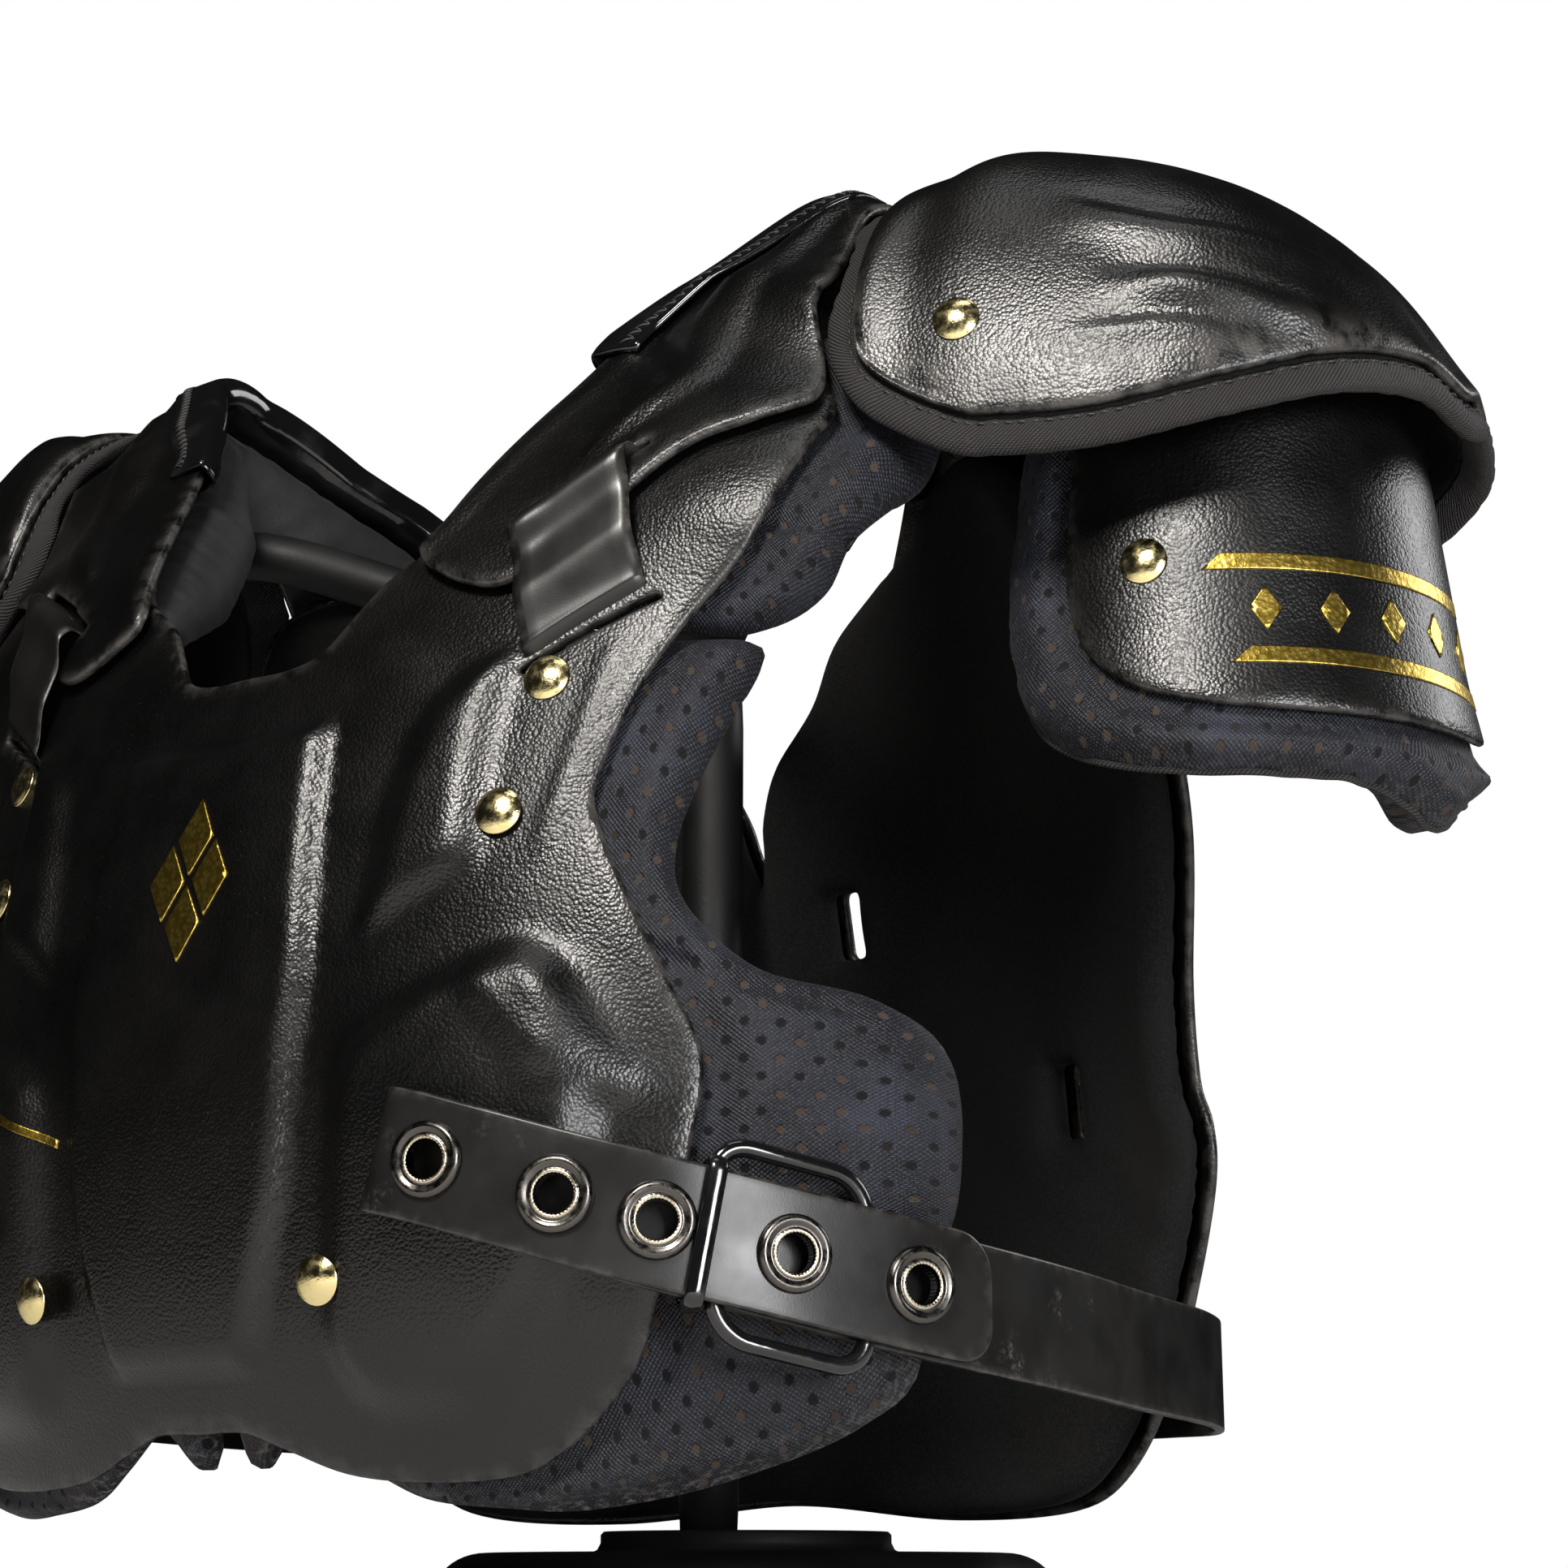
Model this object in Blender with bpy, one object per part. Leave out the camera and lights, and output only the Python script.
# Football shoulder pads on a plain stand.
# Metres, +Z up. The wearer faces -Y and the wearer's left side is +X.
import math

import bpy
import bmesh
from mathutils import Vector
from mathutils.bvhtree import BVHTree
from mathutils.geometry import delaunay_2d_cdt

# Body shape: everything on the torso is laid on one shell surface
HALF_DEPTH = 0.146        # midline to the front of the chest
HALF_WIDTH = 0.190        # midline to the side of the ribs
SHOULDER_TOP = 0.414      # floor to the top of the shoulder shell
FLANK_POWER = 2.4         # how square the chest is in plan
SLOPE_START = 0.095       # where the shoulder starts to fall outwards
SLOPE_RADIUS = 0.100      # radius of that fall
SHOULDER_SWEEP = 0.5      # how far the shoulder comes forward as it goes out
BACK_FLARE = 0.12         # how much wider the back is than the chest

# Plates, liners and the clearances that tie them together
PLATE_WALL = 0.0032
CLEARANCE = 0.0010        # between stacked layers that share a curve
ARCH_GAP = 0.0018         # between the arch and the plates it lies over
LINER_GAP = 0.0014        # between the chest plate and the mesh pad under it
COLLAR_GAP = 0.0021       # the same at the collar bone, where the curve is tighter
SEAT_GAP = 0.0004         # between small hard parts
PAD_THICK = 0.014
BACK_PAD_THICK = 0.012
PANEL_RISE = 0.0042
PANEL_BEVEL = 0.006
RIB_RISE = 0.0022
PLATE_HALF = 0.141        # midline to the widest point of the chest plate
ROW_PITCH = 0.044         # length of one row of the torso profile
MESH_STEP = 0.0245        # spacing of the shell points

# Rivets, straps and eyelets
RIVET_RADIUS = 0.00635
RIVET_HEIGHT = 0.0032
STRAP_WIDTH = 0.03175
STRAP_WALL = 0.0028
EYELET_RADIUS = 0.0095
EYELET_BORE = 0.0048
EYELET_WALL = 0.0010
WIRE_RADIUS = 0.0018
KEEPER_RADIUS = 0.0011
ARCH_STRAP_WIDTH = 0.029   # across the midline direction; the strap lies at a slant

# Neck roll and trim
ROLL_HALF_WIDTH = 0.014
ROLL_HALF_HEIGHT = 0.015
TRIM_COVER = 0.013
TRIM_WALL = 0.0016
TRIM_SLACK = 0.0019       # all round between the trim channel and the arch

# Epaulet and cup
REACH = 0.292             # midline to the outer tip of the epaulet
EPAULET_WALL = 0.0030
EPAULET_PAD_THICK = 0.0075
EPAULET_PAD_EDGE = 0.011
EPAULET_SET = 0.0105      # inner end of the epaulet outside the widest point of the arch
EPAULET_INNER = 0.5625    # rim points with a smaller share of the reach belong to the inner end
LIP_LIFT = 0.0025         # the liner's inner lip rises this much to meet the arch
CUP_MIDDLE = 0.7364       # share along epaulet_x of the cup's centre line
CUP_TUCK = 0.020          # top edge of the cup inside the tip of the epaulet
CUP_HALF_DEPTH = 0.3904   # share of HALF_DEPTH, as the epaulet's own rim
CUP_BACK = 0.178          # share of HALF_DEPTH that the centre line lies behind the midline
CUP_FLARE = 0.12          # radius gained per metre downwards
CUP_HEIGHT = 0.1107
CUP_CLEARANCE = 0.0010    # straight up from the cup and its pad to the epaulet's liner
CUP_START = math.radians(-100)
CUP_END = math.radians(48)
CUP_RIVET_DROP = 0.0677   # below the top edge of the cup
CUP_WALL = 0.0030
CUP_PAD_THICK = 0.012
CUP_PAD_EDGE = 0.015

# Stand
STAND_PLATE_X = 0.320
STAND_PLATE_Y = 0.300
STAND_PLATE_THICK = 0.010
STAND_PLATE_CORNER = 0.030
STAND_BASE_RADIUS = 0.098
STAND_BASE_TOP = 0.038
STAND_NECK_RADIUS = 0.046
STAND_NECK_TOP = 0.0445
STAND_BASE_BACK = 0.104   # base centre behind the torso middle
POST_RADIUS = 0.010
POST_BACK = 0.084         # post centre behind the torso middle
YOKE_RADIUS = 0.008
YOKE_HALF = 0.138
YOKE_FRONT = 0.024        # yoke ends in front of the torso middle
YOKE_SAG = 0.034          # middle of the yoke below its ends
YOKE_CLEARANCE = 0.0005   # straight up from the yoke to what it carries

# Torso profile, one row each: (share of HALF_DEPTH, share of SHOULDER_TOP)
TORSO_PROFILE = [
    (-0.863, 0.109), (-0.966, 0.217), (-1.000, 0.314), (-1.000, 0.411), (-0.966, 0.519),
    (-0.890, 0.633), (-0.781, 0.729), (-0.596, 0.824), (-0.370, 0.920), (-0.027, 1.000),
    (0.329, 0.932), (0.562, 0.833), (0.712, 0.732), (0.808, 0.633), (0.884, 0.519),
    (0.938, 0.411), (0.959, 0.314), (0.938, 0.217), (0.870, 0.109),
]
TOP_ROW = 9

# Neck edge: (row, share of HALF_WIDTH)
NECK_EDGE = [
    (5.0, 0.05), (5.23, 0.13), (5.5, 0.18), (6.1, 0.30), (6.8, 0.355), (7.6, 0.43), (8.2, 0.54),
    (8.8, 0.65), (9.2, 0.66), (9.7, 0.60), (10.3, 0.49), (11.0, 0.37), (11.6, 0.26), (12.1, 0.13),
]

# Chest plate half outline: (share of PLATE_HALF, row), up the arm side from the hem
CHEST_OUTLINE = [
    (0.0, 0.53), (0.11, 0.53), (0.21, 0.43), (0.35, 0.28), (0.55, 0.20), (0.69, 0.23), (0.83, 0.50),
    (0.90, 0.78), (0.95, 1.35), (0.98, 1.93), (1.0, 2.60), (0.94, 3.18), (0.82, 4.06), (0.81, 4.33),
    (0.85, 4.80), (0.922, 5.38), (1.035, 6.12), (1.09, 6.85), (1.08, 7.30), (0.95, 7.45), (0.78, 7.35),
    (0.66, 7.05), (0.52, 6.55), (0.43, 6.15), (0.30, 5.80), (0.24, 5.53), (0.18, 5.25), (0.10, 5.16),
    (0.0, 5.16),
]

# Raised panels of the chest plate: (share of PLATE_HALF, row)
STERNUM_PANEL = [(0.0, 4.72), (0.27, 4.76), (0.31, 3.35), (0.28, 1.9), (0.19, 0.86), (0.0, 0.80)]
LOWER_PANEL = [
    (0.34, 2.75), (0.44, 3.02), (0.62, 3.34), (0.73, 3.44), (0.80, 3.24), (0.87, 2.55), (0.84, 1.9),
    (0.78, 1.1), (0.66, 0.48), (0.40, 0.52), (0.31, 0.85), (0.33, 1.8),
]
UPPER_PANEL = [
    (0.39, 3.45), (0.40, 4.2), (0.46, 4.78), (0.57, 5.08), (0.64, 5.15), (0.60, 4.5), (0.62, 3.75),
]

# Back plate half outline: (share of PLATE_HALF, row), up the arm side from the hem
BACK_OUTLINE = [
    (0.0, 17.75), (0.47, 17.92), (0.82, 17.93), (1.02, 17.7), (1.16, 17.2), (1.21, 16.5), (1.24, 15.4),
    (1.30, 14.6), (1.36, 13.8), (1.38, 13.0), (1.33, 12.2), (1.22, 11.6), (1.14, 11.0), (1.04, 10.7),
    (0.84, 10.75), (0.68, 10.95), (0.40, 11.35), (0.25, 11.8), (0.11, 12.2), (0.05, 12.6),
    (0.03, 12.9), (0.0, 13.15),
]

# Shoulder arch arm edge: (share of HALF_WIDTH, row)
ARCH_OUTER = [
    (0.41, 5.53), (0.516, 5.83), (0.653, 6.55), (0.735, 6.85), (0.79, 7.12), (0.785, 7.5), (0.765, 8.0),
    (0.755, 8.6), (0.755, 9.4), (0.765, 10.2), (0.77, 10.8), (0.72, 11.2), (0.62, 11.6), (0.50, 11.95),
    (0.41, 12.15),
]

# Chest mesh pad: (share of HALF_WIDTH, row)
CHEST_PAD_OUTLINE = [
    (0.022, 0.22), (0.14, 0.14), (0.31, 0.0), (0.44, -0.06), (0.60, -0.04), (0.74, 0.02),
    (0.85, 0.12), (0.90, 0.40), (0.94, 1.5), (0.94, 2.75), (0.885, 3.12), (0.79, 3.28), (0.715, 3.65),
    (0.695, 4.0), (0.715, 4.45), (0.77, 5.20), (0.755, 5.38), (0.64, 5.31), (0.32, 5.16), (0.17, 4.98),
    (0.022, 4.92),
]
# Collar-bone mesh pad: (share of HALF_WIDTH, row)
COLLAR_PAD_OUTLINE = [
    (0.45, 5.55), (0.663, 5.47), (0.747, 5.58), (0.81, 5.90), (0.853, 6.50), (0.916, 7.25),
    (0.90, 7.75), (0.76, 7.65), (0.65, 7.2), (0.55, 6.6), (0.46, 6.1),
]

# Rivets of the chest plate: (share of PLATE_HALF, row, name)
CHEST_RIVETS = [(0.70, 4.90, "upper"), (0.655, 4.10, "middle"), (0.36, 1.31, "lower")]

# Epaulet rim, front half from the inner end to the tip: share along epaulet_x, shares of
# HALF_DEPTH and SHOULDER_TOP
EPAULET_RIM = [
    (0.553, -0.13, 0.988), (0.550, -0.27, 0.975), (0.550, -0.397, 0.940), (0.553, -0.473, 0.901),
    (0.560, -0.521, 0.862), (0.580, -0.541, 0.821), (0.655, -0.508, 0.785), (0.703, -0.480, 0.778),
    (0.785, -0.425, 0.778), (0.877, -0.336, 0.792), (0.955, -0.185, 0.812), (0.993, 0.014, 0.824),
    (1.005, 0.16, 0.814),
]
# Middle line of the epaulet in plan, shares of HALF_DEPTH: at the inner end, the straight run on
# to the tip, and how far the tip curls forwards off that run
EPAULET_MIDDLE = (-0.13, 0.30)
EPAULET_CURL = 0.15
EPAULET_SHARE_FROM = 0.55   # the share along epaulet_x at the inner end; it is 1 at the tip
# Crest of the epaulet: (share along epaulet_x, share of SHOULDER_TOP)
EPAULET_CREST = [
    (0.553, 0.995), (0.60, 1.004), (0.65, 1.003), (0.74, 0.990), (0.82, 0.970), (0.89, 0.950),
    (0.95, 0.920), (1.005, 0.842),
]
EPAULET_RIVET = (6, 0.963)  # rim point and share of the way out to it

# Side strap path, inner layer from the back plate to the front fold:
# shares of (HALF_WIDTH, HALF_DEPTH, SHOULDER_TOP)
STRAP_PATH = [
    (0.50, 0.963, 0.210), (0.62, 0.923, 0.210), (0.735, 0.878, 0.210), (0.845, 0.798, 0.210),
    (0.95, 0.57, 0.212), (0.985, 0.20, 0.216), (0.985, -0.10, 0.222), (0.9583, -0.37, 0.231),
    (0.888, -0.59, 0.244), (0.79, -0.785, 0.261), (0.68, -0.905, 0.278), (0.56, -0.98, 0.296),
    (0.47, -1.015, 0.309), (0.42, -1.03, 0.315),
]
STRAP_LAYER_GAP = 0.0052
STRAP_TIP_SHARE = 0.38      # how far back along the path the outer layer reaches
EYELET_SHARES = [0.075, 0.287, 0.44, 0.645, 0.862]   # along the outer layer from the fold

for old in list(bpy.data.objects):
    bpy.data.objects.remove(old, do_unlink=True)


# Small helpers
def spline(rows, t):
    last = len(rows) - 1
    i = int(min(max(math.floor(t), 0), last - 1))
    f = t - i
    p0 = rows[max(i - 1, 0)]
    p1 = rows[i]
    p2 = rows[i + 1]
    p3 = rows[min(i + 2, last)]
    out = []
    for a, b, c, d in zip(p0, p1, p2, p3):
        out.append(0.5 * (2 * b + (c - a) * f + (2 * a - 5 * b + 4 * c - d) * f * f
                          + (3 * b - a - 3 * c + d) * f ** 3))
    return out


def ramp(x, low, high):
    u = min(max((x - low) / (high - low), 0.0), 1.0)
    return u * u * (3 - 2 * u)


def lookup(table, x):
    if x <= table[0][0]:
        return table[0][1]
    for (x0, y0), (x1, y1) in zip(table, table[1:]):
        if x <= x1:
            return y0 + (y1 - y0) * (x - x0) / (x1 - x0)
    return table[-1][1]


def profile(t):
    y, z = spline(TORSO_PROFILE, t)
    return Vector((y * HALF_DEPTH, z * SHOULDER_TOP))


# The torso shell: row t along the profile, x across it, lift above it
def shell(t, x, lift=0.0):
    centre = profile(t)
    along = (profile(t + 0.02) - profile(t - 0.02)).normalized()
    ny, nz = -along.y, along.x
    upper = ramp(nz, 0.15, 1.0)
    width = HALF_WIDTH * (1 + BACK_FLARE * ramp(t, TOP_ROW, TOP_ROW + 3))
    across = min(abs(x) / width, 0.999)
    flank = HALF_DEPTH * (1 - (1 - across ** FLANK_POWER) ** (1 / FLANK_POWER))
    fall = max(abs(x) - SLOPE_START, 0.0) ** 2 / (2 * SLOPE_RADIUS)
    drop = flank * (1 - upper) + fall * upper
    sweep = SHOULDER_SWEEP * upper * max(abs(x) - SLOPE_START, 0.0)
    return Vector((x, centre.x + ny * (lift - drop) - sweep, centre.y + nz * (lift - drop)))


def shell_normal(t, x):
    a = shell(t, x + 0.001) - shell(t, x - 0.001)
    b = shell(t + 0.02, x) - shell(t - 0.02, x)
    n = a.cross(b).normalized()
    return n if n.dot(shell(t, x, 0.01) - shell(t, x)) > 0 else -n


def neck_x(t):
    return lookup(NECK_EDGE, t) * HALF_WIDTH


# One named object with its own material from lists of points and faces
def add_object(name, points, faces, colour, roughness, metallic=0.0):
    mesh = bpy.data.meshes.new(name)
    bm = bmesh.new()
    verts = [bm.verts.new(p) for p in points]
    for face in faces:
        bm.faces.new([verts[i] for i in face])
    bmesh.ops.remove_doubles(bm, verts=bm.verts, dist=0.00001)
    bmesh.ops.recalc_face_normals(bm, faces=bm.faces)
    if bm.calc_volume(signed=True) < 0:
        bmesh.ops.reverse_faces(bm, faces=bm.faces)
    bmesh.ops.triangulate(bm, faces=bm.faces)
    bm.to_mesh(mesh)
    bm.free()
    thing = bpy.data.objects.new(name, mesh)
    bpy.context.scene.collection.objects.link(thing)
    finish = bpy.data.materials.new(name + "_finish")
    finish.use_nodes = True
    bsdf = finish.node_tree.nodes["Principled BSDF"]
    bsdf.inputs["Base Color"].default_value = (*colour, 1)
    bsdf.inputs["Roughness"].default_value = roughness
    bsdf.inputs["Metallic"].default_value = metallic
    mesh.materials.append(finish)
    return thing


BLACK_PLASTIC = ((0.02, 0.02, 0.02), 0.45)
BLACK_MESH = ((0.015, 0.017, 0.025), 0.9)
BLACK_CLOTH = ((0.012, 0.012, 0.013), 0.85)
BLACK_STRAP = ((0.03, 0.028, 0.027), 0.4)
GLOSS_BLACK = ((0.01, 0.01, 0.01), 0.12)
BRASS = ((0.83, 0.62, 0.18), 0.2, 1.0)
GUNMETAL = ((0.25, 0.24, 0.23), 0.3, 1.0)
STAND_PAINT = ((0.015, 0.015, 0.016), 0.5)


def inside(p, loop):
    hit = False
    for (x0, y0), (x1, y1) in zip(loop, loop[1:] + loop[:1]):
        if (y0 > p[1]) != (y1 > p[1]) and p[0] < (x1 - x0) * (p[1] - y0) / (y1 - y0) + x0:
            hit = not hit
    return hit


def edge_distance(p, loop):
    best = 1e9
    for a, b in zip(loop, loop[1:] + loop[:1]):
        ax, ay, bx, by = *a, *b
        span = (bx - ax) ** 2 + (by - ay) ** 2
        u = 0 if span == 0 else ((p[0] - ax) * (bx - ax) + (p[1] - ay) * (by - ay)) / span
        u = min(max(u, 0), 1)
        best = min(best, math.hypot(p[0] - ax - u * (bx - ax), p[1] - ay - u * (by - ay)))
    return best


# Points inserted along a loop so no edge is longer than the step
def refine(loop, step):
    out = []
    for a, b in zip(loop, loop[1:] + loop[:1]):
        count = max(1, int(math.ceil(math.dist(a, b) / step - 0.2)))
        for k in range(count):
            u = k / count
            out.append((a[0] + (b[0] - a[0]) * u, a[1] + (b[1] - a[1]) * u))
    return out


# A closed sheet: flat outline filled on one shared lattice, then mapped to two faces
def sheet(name, outline, face_in, face_out, material, holes=(), creases=(), step=MESH_STEP):
    loops = [refine(outline, step)] + [list(h) for h in holes] + [list(c) for c in creases]
    points = []
    edges = []
    for loop in loops:
        first = len(points)
        points += loop
        edges += [(first + k, first + (k + 1) % len(loop)) for k in range(len(loop))]
    fixed = list(points)
    rows = step * math.sqrt(3) / 2
    lo_x = min(p[0] for p in outline)
    hi_x = max(p[0] for p in outline)
    lo_y = min(p[1] for p in outline)
    hi_y = max(p[1] for p in outline)
    j = int(math.floor(lo_y / rows))
    while j * rows < hi_y:
        i = int(math.floor(lo_x / step)) - 1
        while i * step < hi_x + step:
            p = ((i + 0.5 * (j % 2)) * step, j * rows)
            near = min(math.dist(p, q) for q in fixed) if fixed else 1
            if inside(p, outline) and near > 0.55 * step and edge_distance(p, outline) > 0.4 * step:
                if all(edge_distance(p, loop) > 0.3 * step for loop in loops[1:]):
                    points.append(p)
            i += 1
        j += 1
    flat, _, tris, _, _, _ = delaunay_2d_cdt([Vector(p) for p in points], edges, [], 0, 1e-7)
    flat = [(p.x, p.y) for p in flat]
    kept = []
    for tri in tris:
        mid = tuple(sum(flat[k][axis] for k in tri) / len(tri) for axis in (0, 1))
        if inside(mid, loops[0]) and not any(inside(mid, list(h)) for h in holes):
            kept.append(tuple(tri))
    used = sorted({k for tri in kept for k in tri})
    order = {k: n for n, k in enumerate(used)}
    count = len(used)
    solid = [face_out(*flat[k]) for k in used] + [face_in(*flat[k]) for k in used]
    faces = []
    sides = {}
    for tri in kept:
        a, b, c = (order[k] for k in tri)
        faces.append((a, b, c))
        faces.append((c + count, b + count, a + count))
        for edge in ((a, b), (b, c), (c, a)):
            sides[edge] = sides.get(edge, 0) + 1
    for (a, b) in sides:
        if (b, a) not in sides:
            faces.append((a, a + count, b + count, b))
    return add_object(name, solid, faces, *material)


# Sheet laid on the torso shell; flat coordinates are x and row times ROW_PITCH
def shell_sheet(name, outline, low, high, material, relief=None, side=1, **options):
    def mapped(lift):
        def place(x, s):
            t = s / ROW_PITCH
            rise = relief(x, s) if relief else 0.0
            p = shell(t, x, lift + rise)
            return Vector((p.x * side, p.y, p.z))
        return place
    return sheet(name, outline, mapped(low), mapped(high), material, **options)


def rows_to_flat(table, unit):
    return [(x * unit, t * ROW_PITCH) for x, t in table]


def mirrored(half):
    return half + [(-x, s) for x, s in reversed(half) if abs(x) > 1e-9]


# Loop pulled in towards its middle by a set distance
def shrunk(loop, distance):
    cx = sum(p[0] for p in loop) / len(loop)
    cy = sum(p[1] for p in loop) / len(loop)
    out = []
    for x, y in loop:
        reach = math.hypot(x - cx, y - cy)
        f = max(0.3, 1 - distance / reach)
        out.append((cx + (x - cx) * f, cy + (y - cy) * f))
    return out


def panel_relief(panels, rise):
    def relief(x, s):
        best = 0.0
        for loop in panels:
            if inside((x, s), loop):
                best = max(best, rise * ramp(edge_distance((x, s), loop), 0.0, PANEL_BEVEL))
        return best
    return relief


# Ring of cross sections joined into one closed solid
def loft(name, rings, material, closed=False):
    count = len(rings[0])
    points = [p for ring in rings for p in ring]
    faces = []
    total = len(rings)
    for k in range(total if closed else total - 1):
        a = k * count
        b = (k + 1) % total * count
        for j in range(count):
            n = (j + 1) % count
            faces.append((a + j, a + n, b + n, b + j))
    if not closed:
        faces.append(tuple(range(count)))
        faces.append(tuple((total - 1) * count + j for j in reversed(range(count))))
    return add_object(name, points, faces, *material)


# Round wire swept along a closed or open path
def wire(name, path, radius, material, closed=True, sides=6):
    rings = []
    total = len(path)
    for k, p in enumerate(path):
        before = path[k - 1] if closed or k else p
        after = path[(k + 1) % total] if closed or k < total - 1 else p
        along = (after - before).normalized()
        a = along.cross(Vector((0.31, 0.17, 0.93))).normalized()
        b = along.cross(a)
        rings.append([p + radius * (math.cos(w) * a + math.sin(w) * b)
                      for w in (2 * math.pi * j / sides for j in range(sides))])
    return loft(name, rings, material, closed)


# Solid of revolution about a line through the origin point along the axis
def turned(name, origin, axis, table, material, segments=12, closed=False):
    a = axis.orthogonal().normalized()
    b = axis.cross(a)
    rings = []
    for k in range(segments):
        w = 2 * math.pi * k / segments
        out = math.cos(w) * a + math.sin(w) * b
        rings.append([origin + out * r + axis * h for r, h in table])
    count = len(table)
    points = [p for ring in rings for p in ring]
    faces = []
    for k in range(segments):
        n = (k + 1) % segments
        for j in range(count if closed else count - 1):
            m = (j + 1) % count
            quad = [k * count + j, k * count + m, n * count + m, n * count + j]
            faces.append(tuple(quad))
    thing_faces = []
    for face in faces:
        kept = []
        for index in face:
            if not kept or all((points[index] - points[q]).length > 1e-7 for q in kept):
                kept.append(index)
        if len(kept) > 2:
            thing_faces.append(tuple(kept))
    return add_object(name, points, thing_faces, *material)


def flip(p, side):
    return Vector((p.x * side, p.y, p.z))


# Chest plate with its raised panels and the slots of the arch straps
def chest_plate():
    outline = mirrored(rows_to_flat(CHEST_OUTLINE, PLATE_HALF))
    sternum = mirrored(rows_to_flat(STERNUM_PANEL, PLATE_HALF))
    panels = [sternum]
    for table in (LOWER_PANEL, UPPER_PANEL):
        half = rows_to_flat(table, PLATE_HALF)
        panels.append(half)
        panels.append([(-x, s) for x, s in half])
    creases = []
    for panel in panels:
        creases.append(refine(panel, MESH_STEP))
        creases.append(refine(shrunk(panel, PANEL_BEVEL * 1.3), MESH_STEP))
    shell_sheet("front_plate", outline, 0.0, PLATE_WALL, BLACK_PLASTIC,
                relief=panel_relief(panels, PANEL_RISE), creases=creases)


def back_plate():
    half = rows_to_flat(BACK_OUTLINE, PLATE_HALF)
    shell_sheet("back_plate", mirrored(half), 0.0, PLATE_WALL, BLACK_PLASTIC)
    shell_sheet("back_pad", mirrored(half), -CLEARANCE - BACK_PAD_THICK, -CLEARANCE, BLACK_CLOTH)


# Shoulder arch: lies over both plates, edge to edge from chest to back
ARCH_LOW = PLATE_WALL + ARCH_GAP
ARCH_HIGH = ARCH_LOW + PLATE_WALL


def arch_outline():
    outer = [(x * HALF_WIDTH, t * ROW_PITCH) for x, t in ARCH_OUTER]
    rows = [12.0, 11.6, 11.0, 10.3, 9.95, 9.7, 9.45, 9.2, 9.0, 8.8, 8.5, 8.2, 7.9, 7.6, 6.8, 6.15, 5.8]
    inner = [(neck_x(t) + (0.008 if t in (12.0, 5.8) else 0.0), t * ROW_PITCH) for t in rows]
    return outer + inner


def arch_relief(x, s):
    t = s / ROW_PITCH
    u = (x - neck_x(t)) / (lookup([(t0, x0) for x0, t0 in ARCH_OUTER], t) * HALF_WIDTH - neck_x(t))
    return RIB_RISE * ramp(0.16 - abs(u - 0.55), 0.0, 0.12) * ramp(2.6 - abs(t - TOP_ROW), 0, 0.8)


def shoulder_arch(tag, side):
    shell_sheet("shoulder_arch_" + tag, arch_outline(), ARCH_LOW, ARCH_HIGH, BLACK_PLASTIC,
                relief=arch_relief, side=side)


# Channel clipped over the neck edge of the arch
def neck_trim(tag, side):
    low = ARCH_LOW - TRIM_SLACK
    high = ARCH_HIGH + TRIM_SLACK
    section = [
        (-TRIM_WALL - TRIM_SLACK, low - TRIM_WALL), (TRIM_COVER - 0.002, low - TRIM_WALL),
        (TRIM_COVER - 0.002, low), (-TRIM_SLACK, low), (-TRIM_SLACK, high), (TRIM_COVER, high),
        (TRIM_COVER, high + TRIM_WALL), (-TRIM_WALL - TRIM_SLACK, high + TRIM_WALL),
    ]
    rings = []
    for k in range(13):
        t = 7.45 + (10.6 - 7.45) * k / 12
        rings.append([flip(shell(t, neck_x(t) + dx, lift), side) for dx, lift in section])
    loft("neck_trim_" + tag, rings, GLOSS_BLACK)


# Padded roll under the arch beside the neck
def neck_roll(tag, side):
    rings = []
    stations = 15
    for k in range(stations):
        t = 6.15 + (10.5 - 6.15) * k / (stations - 1)
        swell = min(1.0, 0.55 + 0.45 * math.sin(math.pi * k / (stations - 1)) * 2)
        centre_x = neck_x(t) + ROLL_HALF_WIDTH - 0.001
        centre_lift = -SEAT_GAP - ROLL_HALF_HEIGHT * swell
        ring = []
        for j in range(8):
            w = 2 * math.pi * j / 8
            ring.append(flip(shell(t, centre_x + ROLL_HALF_WIDTH * swell * math.cos(w),
                                   centre_lift + ROLL_HALF_HEIGHT * swell * math.sin(w)), side))
        rings.append(ring)
    loft("neck_roll_" + tag, rings, BLACK_CLOTH)


def mesh_pads(tag, side):
    chest = rows_to_flat(CHEST_PAD_OUTLINE, HALF_WIDTH)
    shell_sheet("chest_pad_" + tag, chest, -LINER_GAP - PAD_THICK, -LINER_GAP, BLACK_MESH,
                side=side, step=MESH_STEP * 1.15)
    collar = rows_to_flat(COLLAR_PAD_OUTLINE, HALF_WIDTH)
    shell_sheet("collar_pad_" + tag, collar, -COLLAR_GAP - PAD_THICK, -COLLAR_GAP, BLACK_MESH,
                side=side, step=MESH_STEP * 1.15)


# Smooth strap laid over the arch edge, from the arch down to the chest plate
def arch_strap(tag, side):
    low = ARCH_HIGH + SEAT_GAP
    rings = []
    for k in range(8):
        u = k / 7
        t = 6.25 - 0.95 * u
        x = 0.0985 + 0.008 * u
        lift = low - 0.0040 * ramp(u, 0.6, 0.95)
        half = ARCH_STRAP_WIDTH / 2
        lean = 0.28
        rings.append([flip(shell(t + lean * e, x + half * e, lift + h), side)
                      for e, h in ((-1, 0), (1, 0), (1, 0.0018), (-1, 0.0018))])
    loft("arch_strap_" + tag, rings, BLACK_STRAP)


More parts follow.
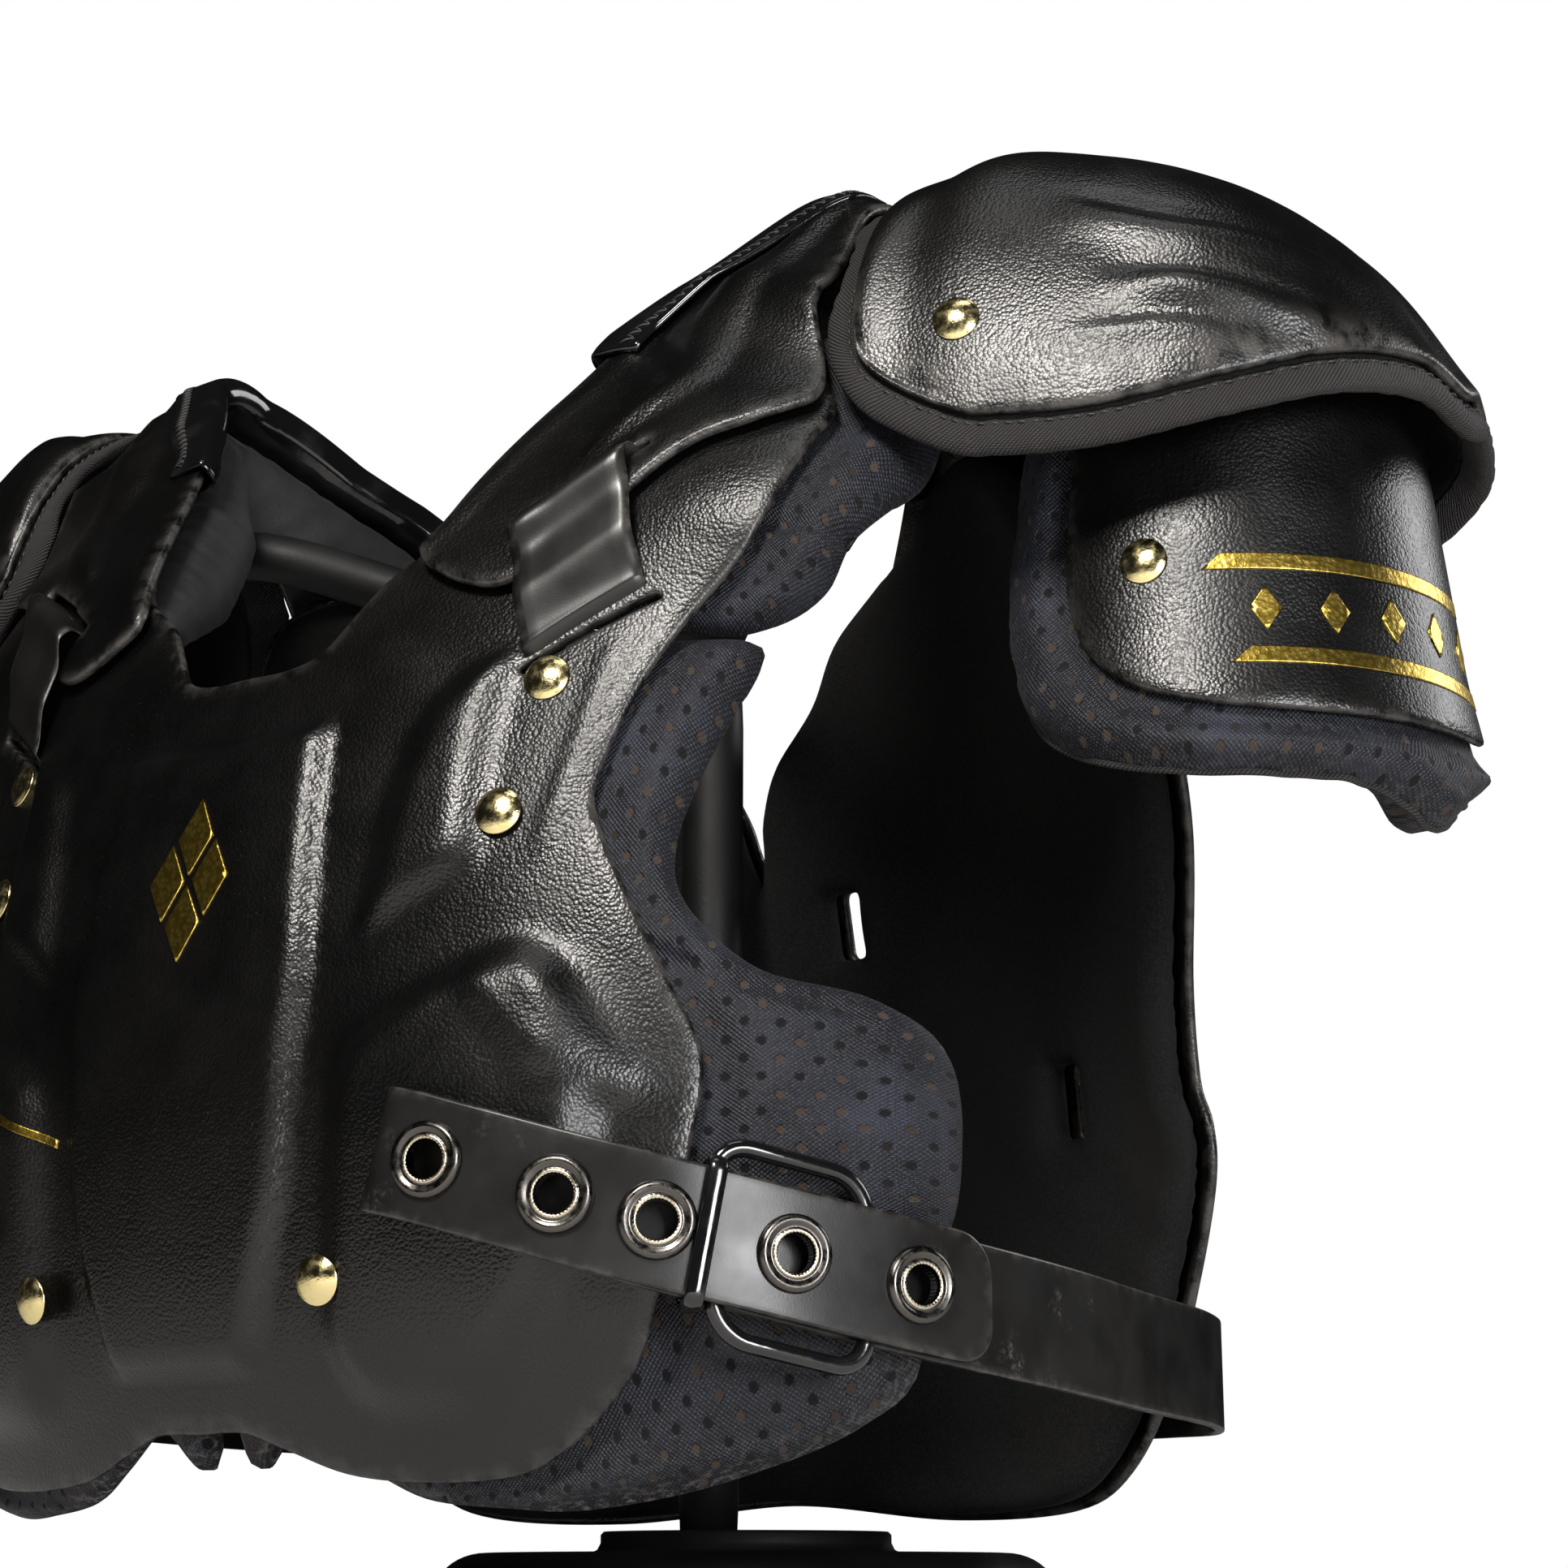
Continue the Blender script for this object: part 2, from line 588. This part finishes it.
# Drops a disc of a given radius along its normal until its rim clears a mesh by the seat gap
def seated(carrier, base, normal, radius):
    data = bpy.data.objects[carrier].data
    tree = BVHTree.FromPolygons([v.co for v in data.vertices], [p.vertices for p in data.polygons])
    a = normal.orthogonal().normalized()
    b = normal.cross(a)
    drop = 1.0
    for k in range(13):
        w = 2 * math.pi * k / 12
        reach = radius if k < 12 else 0.0
        start = base + normal * 0.01 + reach * (math.cos(w) * a + math.sin(w) * b)
        found = tree.ray_cast(start, -normal, 0.03)
        if found[0]:
            drop = min(drop, found[3])
    return base + normal * (0.01 - drop + SEAT_GAP)


def rivet(name, carrier, base, normal, side):
    base = flip(base, side)
    normal = flip(normal, side)
    base = seated(carrier, base, normal, RIVET_RADIUS)
    r = RIVET_RADIUS
    h = RIVET_HEIGHT
    table = [(0.0, 0.0), (r * 0.92, 0.0), (r, h * 0.2), (r * 0.86, h * 0.62), (r * 0.5, h * 0.92), (0.0, h)]
    turned(name, base, normal, table, BRASS, segments=9)


# Distance out along the epaulet: from beside the arch to the tip
def epaulet_x(share):
    start = max(x for x, t in ARCH_OUTER) * HALF_WIDTH + EPAULET_SET
    return start + (REACH - start) * (share - EPAULET_SHARE_FROM) / (1 - EPAULET_SHARE_FROM)


def epaulet_share(x):
    start = epaulet_x(EPAULET_SHARE_FROM)
    return EPAULET_SHARE_FROM + (1 - EPAULET_SHARE_FROM) * (x - start) / (REACH - start)


# Epaulet surface in polar form: angle index over the rim, share r from the middle
def epaulet_rim():
    front = [Vector((epaulet_x(x), y * HALF_DEPTH, z * SHOULDER_TOP)) for x, y, z in EPAULET_RIM]
    start, end = EPAULET_MIDDLE
    back = []
    for p in front[1:-1]:
        u = (epaulet_share(p.x) - EPAULET_RIM[0][0]) / (EPAULET_RIM[-1][0] - EPAULET_RIM[0][0])
        middle = (start + (end - start) * u - EPAULET_CURL * u ** 3) * HALF_DEPTH
        back.append(Vector((p.x, 2 * middle - p.y, p.z)))
    return front + back[::-1]


def epaulet_point(rim_point, r):
    top_x = epaulet_x(0.76)
    x = top_x + (rim_point.x - top_x) * r
    mid_y = -0.02 * HALF_DEPTH
    y = mid_y + (rim_point.y - mid_y) * r
    crest = lookup(EPAULET_CREST, epaulet_share(x)) * SHOULDER_TOP
    z = rim_point.z + (crest - rim_point.z) * (1 - r ** 2.6) ** 0.55
    return Vector((x, y, z))


def epaulet_grid():
    rim = epaulet_rim()
    shares = [0.0, 0.4, 0.72, 0.92, 1.0]
    return [[epaulet_point(p, r) for p in rim] for r in shares]


def grid_normals(grid):
    rings = len(grid)
    count = len(grid[0])
    out = []
    for k in range(rings):
        row = []
        for j in range(count):
            inner = grid[max(k - 1, 0)][j]
            outer = grid[min(k + 1, rings - 1)][j]
            if k == 0:
                row.append(Vector((0.12, 0, 0.993)))
                continue
            radial = (outer - inner).normalized()
            around = (grid[k][(j + 1) % count] - grid[k][j - 1]).normalized()
            n = around.cross(radial).normalized()
            if n.z < 0 and k < rings - 2 or n.dot(grid[k][j] - grid[0][0] + Vector((0, 0, 0.08))) < 0:
                n = -n
            row.append(n)
        out.append(row)
    return out


# How far out the arm edge of the arch comes near a given Y
def arch_edge_x(y):
    rows = [(t, x) for x, t in ARCH_OUTER]
    edge = [shell(6.6 + 0.07 * k, lookup(rows, 6.6 + 0.07 * k) * HALF_WIDTH, ARCH_HIGH) for k in range(70)]
    return max(p.x for p in edge if abs(p.y - y) < 0.012)


# Cap solid from a polar grid, between two depths under its surface
def cap(name, grid, normals, high, low, material, side, edge=0.0, thin=1.0):
    def layer(depth):
        out = []
        for k, row in enumerate(grid):
            share = 1.0 if k < len(grid) - 2 else thin
            out.append([p - n * (high + (depth - high) * share) for p, n in zip(row, normals[k])])
        if edge:
            lip = []
            for j, p in enumerate(grid[-1]):
                along = (p - grid[-3][j]).normalized()
                tip = out[-1][j] + along * edge
                if p.x < epaulet_x(EPAULET_INNER):
                    tip = out[-1][j] + Vector((0, 0, LIP_LIFT))
                    tip.x = arch_edge_x(tip.y) + SEAT_GAP * 1.5
                lip.append(tip)
            out.append(lip)
        return out
    top = layer(high)
    bottom = layer(low)
    count = len(grid[0])
    points = []
    index = {}
    for tag, rings in (("t", top), ("b", bottom)):
        for k, ring in enumerate(rings):
            for j in range(count):
                if k == 0:
                    if j == 0:
                        index[tag, 0, 0] = len(points)
                        points.append(flip(ring[0], side))
                    index[tag, 0, j] = index[tag, 0, 0]
                else:
                    index[tag, k, j] = len(points)
                    points.append(flip(ring[j], side))
    faces = []
    last = len(top) - 1
    for tag in ("t", "b"):
        for k in range(last):
            for j in range(count):
                n = (j + 1) % count
                quad = [index[tag, k, j], index[tag, k, n], index[tag, k + 1, n], index[tag, k + 1, j]]
                quad = list(dict.fromkeys(quad))
                faces.append(quad if tag == "t" else quad[::-1])
    for j in range(count):
        n = (j + 1) % count
        faces.append([index["t", last, j], index["t", last, n], index["b", last, n], index["b", last, j]])
    return add_object(name, points, faces, *material)


def epaulet(tag, side):
    grid = epaulet_grid()
    normals = grid_normals(grid)
    cap("epaulet_" + tag, grid, normals, 0.0, EPAULET_WALL, BLACK_PLASTIC, side)
    top = EPAULET_WALL + SEAT_GAP * 1.5
    cap("epaulet_pad_" + tag, grid, normals, top, top + EPAULET_PAD_THICK, BLACK_CLOTH, side,
        edge=EPAULET_PAD_EDGE, thin=0.75)
    j, share = EPAULET_RIVET
    base = epaulet_point(grid[-1][j], share)
    beside = epaulet_point(grid[-1][j + 1], share) - epaulet_point(grid[-1][j - 1], share)
    uphill = epaulet_point(grid[-1][j], share - 0.04) - epaulet_point(grid[-1][j], share + 0.03)
    normal = beside.cross(uphill).normalized()
    rivet("rivet_epaulet_" + tag, "epaulet_" + tag, base, normal, side)


# Shortest straight run from any of the points to the named meshes
def clear_run(carriers, points, direction):
    best = 1.0
    for carrier in carriers:
        data = bpy.data.objects[carrier].data
        tree = BVHTree.FromPolygons([v.co for v in data.vertices], [p.vertices for p in data.polygons])
        runs = [tree.ray_cast(p, direction, 1.0)[3] for p in points]
        best = min([best] + [run for run in runs if run is not None])
    return best


# Cup over the upper arm: part of a flared cylinder with rounded corners, hung below its top
def cup_point(angle, hang, depth=0.0):
    x = epaulet_x(CUP_MIDDLE)
    grow = CUP_FLARE * hang - depth
    return Vector((x + (REACH - CUP_TUCK - x + grow) * math.cos(angle),
                   CUP_BACK * HALF_DEPTH + (CUP_HALF_DEPTH * HALF_DEPTH + grow) * math.sin(angle), -hang))


def cup_angle(u, edge):
    grow = edge / (CUP_HALF_DEPTH * HALF_DEPTH)
    return CUP_START - grow + (CUP_END - CUP_START + 2 * grow) * u


# Lowest and highest hang of the cup at a share of the way round, grown by an edge width
def cup_rows(u, edge):
    middle = CUP_HEIGHT / 2 - 0.004
    e = abs(2 * u - 1)
    round_off = (1 - e ** 4.5) ** 0.42 if e < 1 else 0.0
    bottom = middle + 0.012 + (CUP_HEIGHT - middle - 0.012 + edge) * round_off
    return bottom, (middle - 0.012) * (1 - round_off)


# Height of the cup's top: as far up under the epaulet's liner as the clearance lets it
def cup_top(tag, side):
    start = min(v.co.z for v in bpy.data.objects["epaulet_pad_" + tag].data.vertices) - CUP_HEIGHT
    edge = []
    for depth, grow in ((0.0, 0.0), (CUP_WALL + SEAT_GAP * 2, CUP_PAD_EDGE), (cup_pad_depth(), CUP_PAD_EDGE)):
        for k in range(25):
            u = k / 24
            p = cup_point(cup_angle(u, grow), cup_rows(u, grow)[1], depth)
            edge.append(flip(p + Vector((0, 0, start)), side))
    return start + clear_run(["epaulet_pad_" + tag], edge, Vector((0, 0, 1))) - CUP_CLEARANCE


def cup_pad_depth():
    return CUP_WALL + SEAT_GAP * 2 + CUP_PAD_THICK


# Grid over the cup, grown past its outline by an edge width
def cup_sheet(name, high, low, edge, material, side, columns, top):
    rows = 4
    points = []
    for depth in (high, low):
        for i in range(columns + 1):
            u = i / columns
            angle = cup_angle(u, edge)
            lowest, highest = cup_rows(u, edge)
            for j in range(rows + 1):
                p = cup_point(angle, lowest + (highest - lowest) * j / rows, depth)
                points.append(flip(p + Vector((0, 0, top)), side))
    wide = rows + 1
    half = (columns + 1) * wide
    faces = []
    for i in range(columns):
        for j in range(rows):
            a = i * wide + j
            quad = (a, a + wide, a + wide + 1, a + 1)
            faces.append(quad)
            faces.append(tuple(half + q for q in reversed(quad)))
    ring = [j for j in range(wide)] + [i * wide + rows for i in range(1, columns + 1)]
    ring += [columns * wide + j for j in range(rows - 1, -1, -1)]
    ring += [i * wide for i in range(columns - 1, 0, -1)]
    for a, b in zip(ring, ring[1:] + ring[:1]):
        faces.append((a, b, b + half, a + half))
    return add_object(name, points, faces, *material)


def cup(tag, side):
    top = cup_top(tag, side)
    cup_sheet("cup_" + tag, 0.0, CUP_WALL, 0.0, BLACK_PLASTIC, side, 12, top)
    cup_sheet("cup_pad_" + tag, CUP_WALL + SEAT_GAP * 2, cup_pad_depth(), CUP_PAD_EDGE, BLACK_MESH, side, 12, top)
    angle = math.radians(-79)
    normal = Vector((math.cos(angle), math.sin(angle), CUP_FLARE)).normalized()
    base = cup_point(angle, CUP_RIVET_DROP) + Vector((0, 0, top))
    rivet("rivet_cup_" + tag, "cup_" + tag, base, normal, side)


def chest_rivets(tag, side):
    for share, row, label in CHEST_RIVETS:
        x = share * PLATE_HALF
        normal = shell_normal(row, x)
        rivet("rivet_" + label + "_" + tag, "front_plate", shell(row, x, PLATE_WALL), normal, side)


# Side strap: one ribbon from the back plate, folded at the front and laid back on itself
def strap_centre(path_share):
    p = spline(STRAP_PATH, path_share * (len(STRAP_PATH) - 1))
    return Vector((p[0] * HALF_WIDTH, p[1] * HALF_DEPTH, p[2] * SHOULDER_TOP))


def strap_samples():
    steps = 80
    return [strap_centre(k / steps) for k in range(steps + 1)]


def strap_length(samples):
    return sum((b - a).length for a, b in zip(samples, samples[1:]))


def strap_frame(samples, distance):
    left = distance
    for k in range(len(samples) - 1):
        span = (samples[k + 1] - samples[k]).length
        if left <= span or k == len(samples) - 2:
            before = samples[max(k - 2, 0)]
            after = samples[min(k + 3, len(samples) - 1)]
            along = (after - before).normalized()
            p = samples[k] + (samples[k + 1] - samples[k]).normalized() * left
            out = Vector((0, 0, 1)).cross(along).normalized()
            return p, along, out
        left -= span


def side_strap(tag, side):
    samples = strap_samples()
    length = strap_length(samples)
    spacing = STRAP_WALL + STRAP_LAYER_GAP
    bend = math.pi * spacing / 2
    tip = length * STRAP_TIP_SHARE

    def place(depth):
        def mapped(s, w):
            if s <= length:
                p, along, out = strap_frame(samples, s)
                return flip(p + out * depth + Vector((0, 0, w)), side)
            p, along, out = strap_frame(samples, length)
            if s < length + bend:
                angle = (s - length) / bend * math.pi
                centre = p + out * spacing / 2
                arm = -out * math.cos(angle) + along * math.sin(angle)
                return flip(centre + arm * (spacing / 2 - depth) + Vector((0, 0, w)), side)
            p, along, out = strap_frame(samples, length - (s - length - bend))
            return flip(p + out * (spacing - depth) + Vector((0, 0, w)), side)
        return mapped

    half = STRAP_WIDTH / 2
    end = length + bend + tip
    corner = half * 0.45
    outline = [(0, -half), (length, -half), (length + bend / 4, -half), (length + bend / 2, -half),
               (length + bend * 3 / 4, -half), (length + bend, -half), (end - corner, -half)]
    outline += [(end - corner * 0.3, -half + corner * 0.3), (end, -half + corner), (end, half - corner),
                (end - corner * 0.3, half - corner * 0.3), (end - corner, half)]
    outline += [(length + bend, half), (length + bend * 3 / 4, half), (length + bend / 2, half),
                (length + bend / 4, half), (length, half), (0, half)]
    hole = EYELET_BORE + EYELET_WALL + SEAT_GAP * 3.5
    holes = []
    for share in EYELET_SHARES:
        centre = length + bend + tip * share
        holes.append([(centre + hole * math.cos(math.pi * k / 5), hole * math.sin(math.pi * k / 5))
                      for k in range(10)])
    inner = -STRAP_WALL / 2
    sheet("side_strap_" + tag, outline, place(inner), place(-inner), BLACK_STRAP, holes=holes, step=0.017)
    for n, share in enumerate(EYELET_SHARES):
        p, along, out = strap_frame(samples, length - tip * share)
        centre = p + out * spacing
        top = STRAP_WALL / 2 + SEAT_GAP * 3
        bottom = -STRAP_WALL / 2
        bore = EYELET_BORE
        barrel = bore + EYELET_WALL
        table = [(bore, bottom), (barrel, bottom), (barrel, top + 0.0004), (EYELET_RADIUS, top + 0.0004),
                 (EYELET_RADIUS * 0.86, top + 0.0016), (bore, top + 0.0012)]
        turned("eyelet_%s%d" % (tag, n + 1), flip(centre, side), flip(out, side), table, GUNMETAL,
               segments=9, closed=True)
    strap_ring(tag, side, samples, length, tip, spacing)


# Wire ring between the strap layers and the thin keeper loop round both
def strap_ring(tag, side, samples, length, tip, spacing):
    middle = length - tip * 0.655
    half_x = 0.0195
    half_z = STRAP_WIDTH / 2 + 0.0072
    corner = 0.009
    path = []
    for cx, cz, start in ((1, 1, 0), (-1, 1, 90), (-1, -1, 180), (1, -1, 270)):
        for k in range(4):
            w = math.radians(start + 30 * k)
            path.append((cx * (half_x - corner) + corner * math.cos(w),
                         cz * (half_z - corner) + corner * math.sin(w)))
    ring = []
    for x, z in path:
        p, along, out = strap_frame(samples, middle + x)
        ring.append(flip(p + out * spacing / 2 + Vector((0, 0, z)), side))
    wire("strap_ring_" + tag, ring, WIRE_RADIUS, GLOSS_BLACK)
    p, along, out = strap_frame(samples, length - tip * 0.51)
    reach = STRAP_WALL / 2 + KEEPER_RADIUS + SEAT_GAP * 2
    low = -reach
    high = spacing + reach
    half = STRAP_WIDTH / 2 + KEEPER_RADIUS + SEAT_GAP * 2
    loop = [(low, -half), (low, 0), (low, half), ((low + high) / 2, half + 0.001), (high, half),
            (high, 0), (high, -half), ((low + high) / 2, -half - 0.001)]
    wire("strap_keeper_" + tag, [flip(p + out * d + Vector((0, 0, z)), side) for d, z in loop],
         KEEPER_RADIUS, GLOSS_BLACK)


# Height of the yoke's ends: the bar stops short of the first thing that it would carry
def yoke_height(bar):
    start = STAND_NECK_TOP + YOKE_SAG
    spine = []
    for a, b in zip(bar, bar[1:]):
        for k in range(8):
            p = a.lerp(b, k / 8)
            for across in (-1, -0.5, 0, 0.5, 1):
                rise = YOKE_RADIUS * math.sqrt(1 - across ** 2)
                spine.append(p + Vector((0, across * YOKE_RADIUS, start + rise)))
    carried = [name + tag for name in ("neck_roll_", "chest_pad_", "collar_pad_") for tag in "lr"]
    return start + clear_run(carried, spine, Vector((0, 0, 1))) - YOKE_CLEARANCE


# Plain stand: foot plate, weighted base, post and a yoke under both neck rolls
def stand():
    corners = []
    for cx, cy, start in ((1, 1, 0), (-1, 1, 90), (-1, -1, 180), (1, -1, 270)):
        for k in range(5):
            w = math.radians(start + 22.5 * k)
            corners.append((cx * (STAND_PLATE_X / 2 - STAND_PLATE_CORNER) + STAND_PLATE_CORNER * math.cos(w),
                            cy * (STAND_PLATE_Y / 2 - STAND_PLATE_CORNER) + STAND_PLATE_CORNER * math.sin(w)))
    back = 0.050
    rings = [[Vector((x, y + back, z)) for x, y in corners] for z in (0.0, STAND_PLATE_THICK)]
    loft("stand_foot", rings, STAND_PAINT)
    r = STAND_BASE_RADIUS
    low = STAND_PLATE_THICK + SEAT_GAP
    top = STAND_BASE_TOP
    table = [(0.0, low), (r, low), (r, top * 0.55), (r * 0.97, top * 0.78), (r * 0.90, top * 0.94),
             (r * 0.82, top), (STAND_NECK_RADIUS, top), (STAND_NECK_RADIUS, STAND_NECK_TOP),
             (0.0, STAND_NECK_TOP)]
    turned("stand_base", Vector((0, STAND_BASE_BACK, 0)), Vector((0, 0, 1)), table, STAND_PAINT, segments=20)
    seat = POST_BACK - POST_RADIUS - YOKE_RADIUS - SEAT_GAP
    bar = []
    for u, back, drop in ((1, -1, 0), (0.9, -1, 0), (0.72, -0.75, 0.12), (0.45, 0.1, 0.53),
                          (0.2, 0.8, 0.91), (0.0, 1.0, 1.0)):
        y = seat * max(back, 0) + YOKE_FRONT * min(back, 0)
        bar.append(Vector((u * YOKE_HALF, y, -drop * YOKE_SAG)))
    bar = [Vector((-p.x, p.y, p.z)) for p in bar[:-1]] + bar[::-1]
    yoke_z = yoke_height(bar)
    bar = [p + Vector((0, 0, yoke_z)) for p in bar]
    joint = yoke_z - YOKE_SAG
    post = [Vector((0, POST_BACK, STAND_NECK_TOP + SEAT_GAP)), Vector((0, POST_BACK, joint - 0.012)),
            Vector((0, POST_BACK, joint + POST_RADIUS * 0.6))]
    wire("stand_post", post, POST_RADIUS, STAND_PAINT, closed=False, sides=12)
    wire("stand_yoke", bar, YOKE_RADIUS, STAND_PAINT, closed=False, sides=10)


chest_plate()
back_plate()
for tag, side in (("l", 1), ("r", -1)):
    shoulder_arch(tag, side)
    neck_trim(tag, side)
    neck_roll(tag, side)
    mesh_pads(tag, side)
    arch_strap(tag, side)
    chest_rivets(tag, side)
    epaulet(tag, side)
    cup(tag, side)
    side_strap(tag, side)
stand()
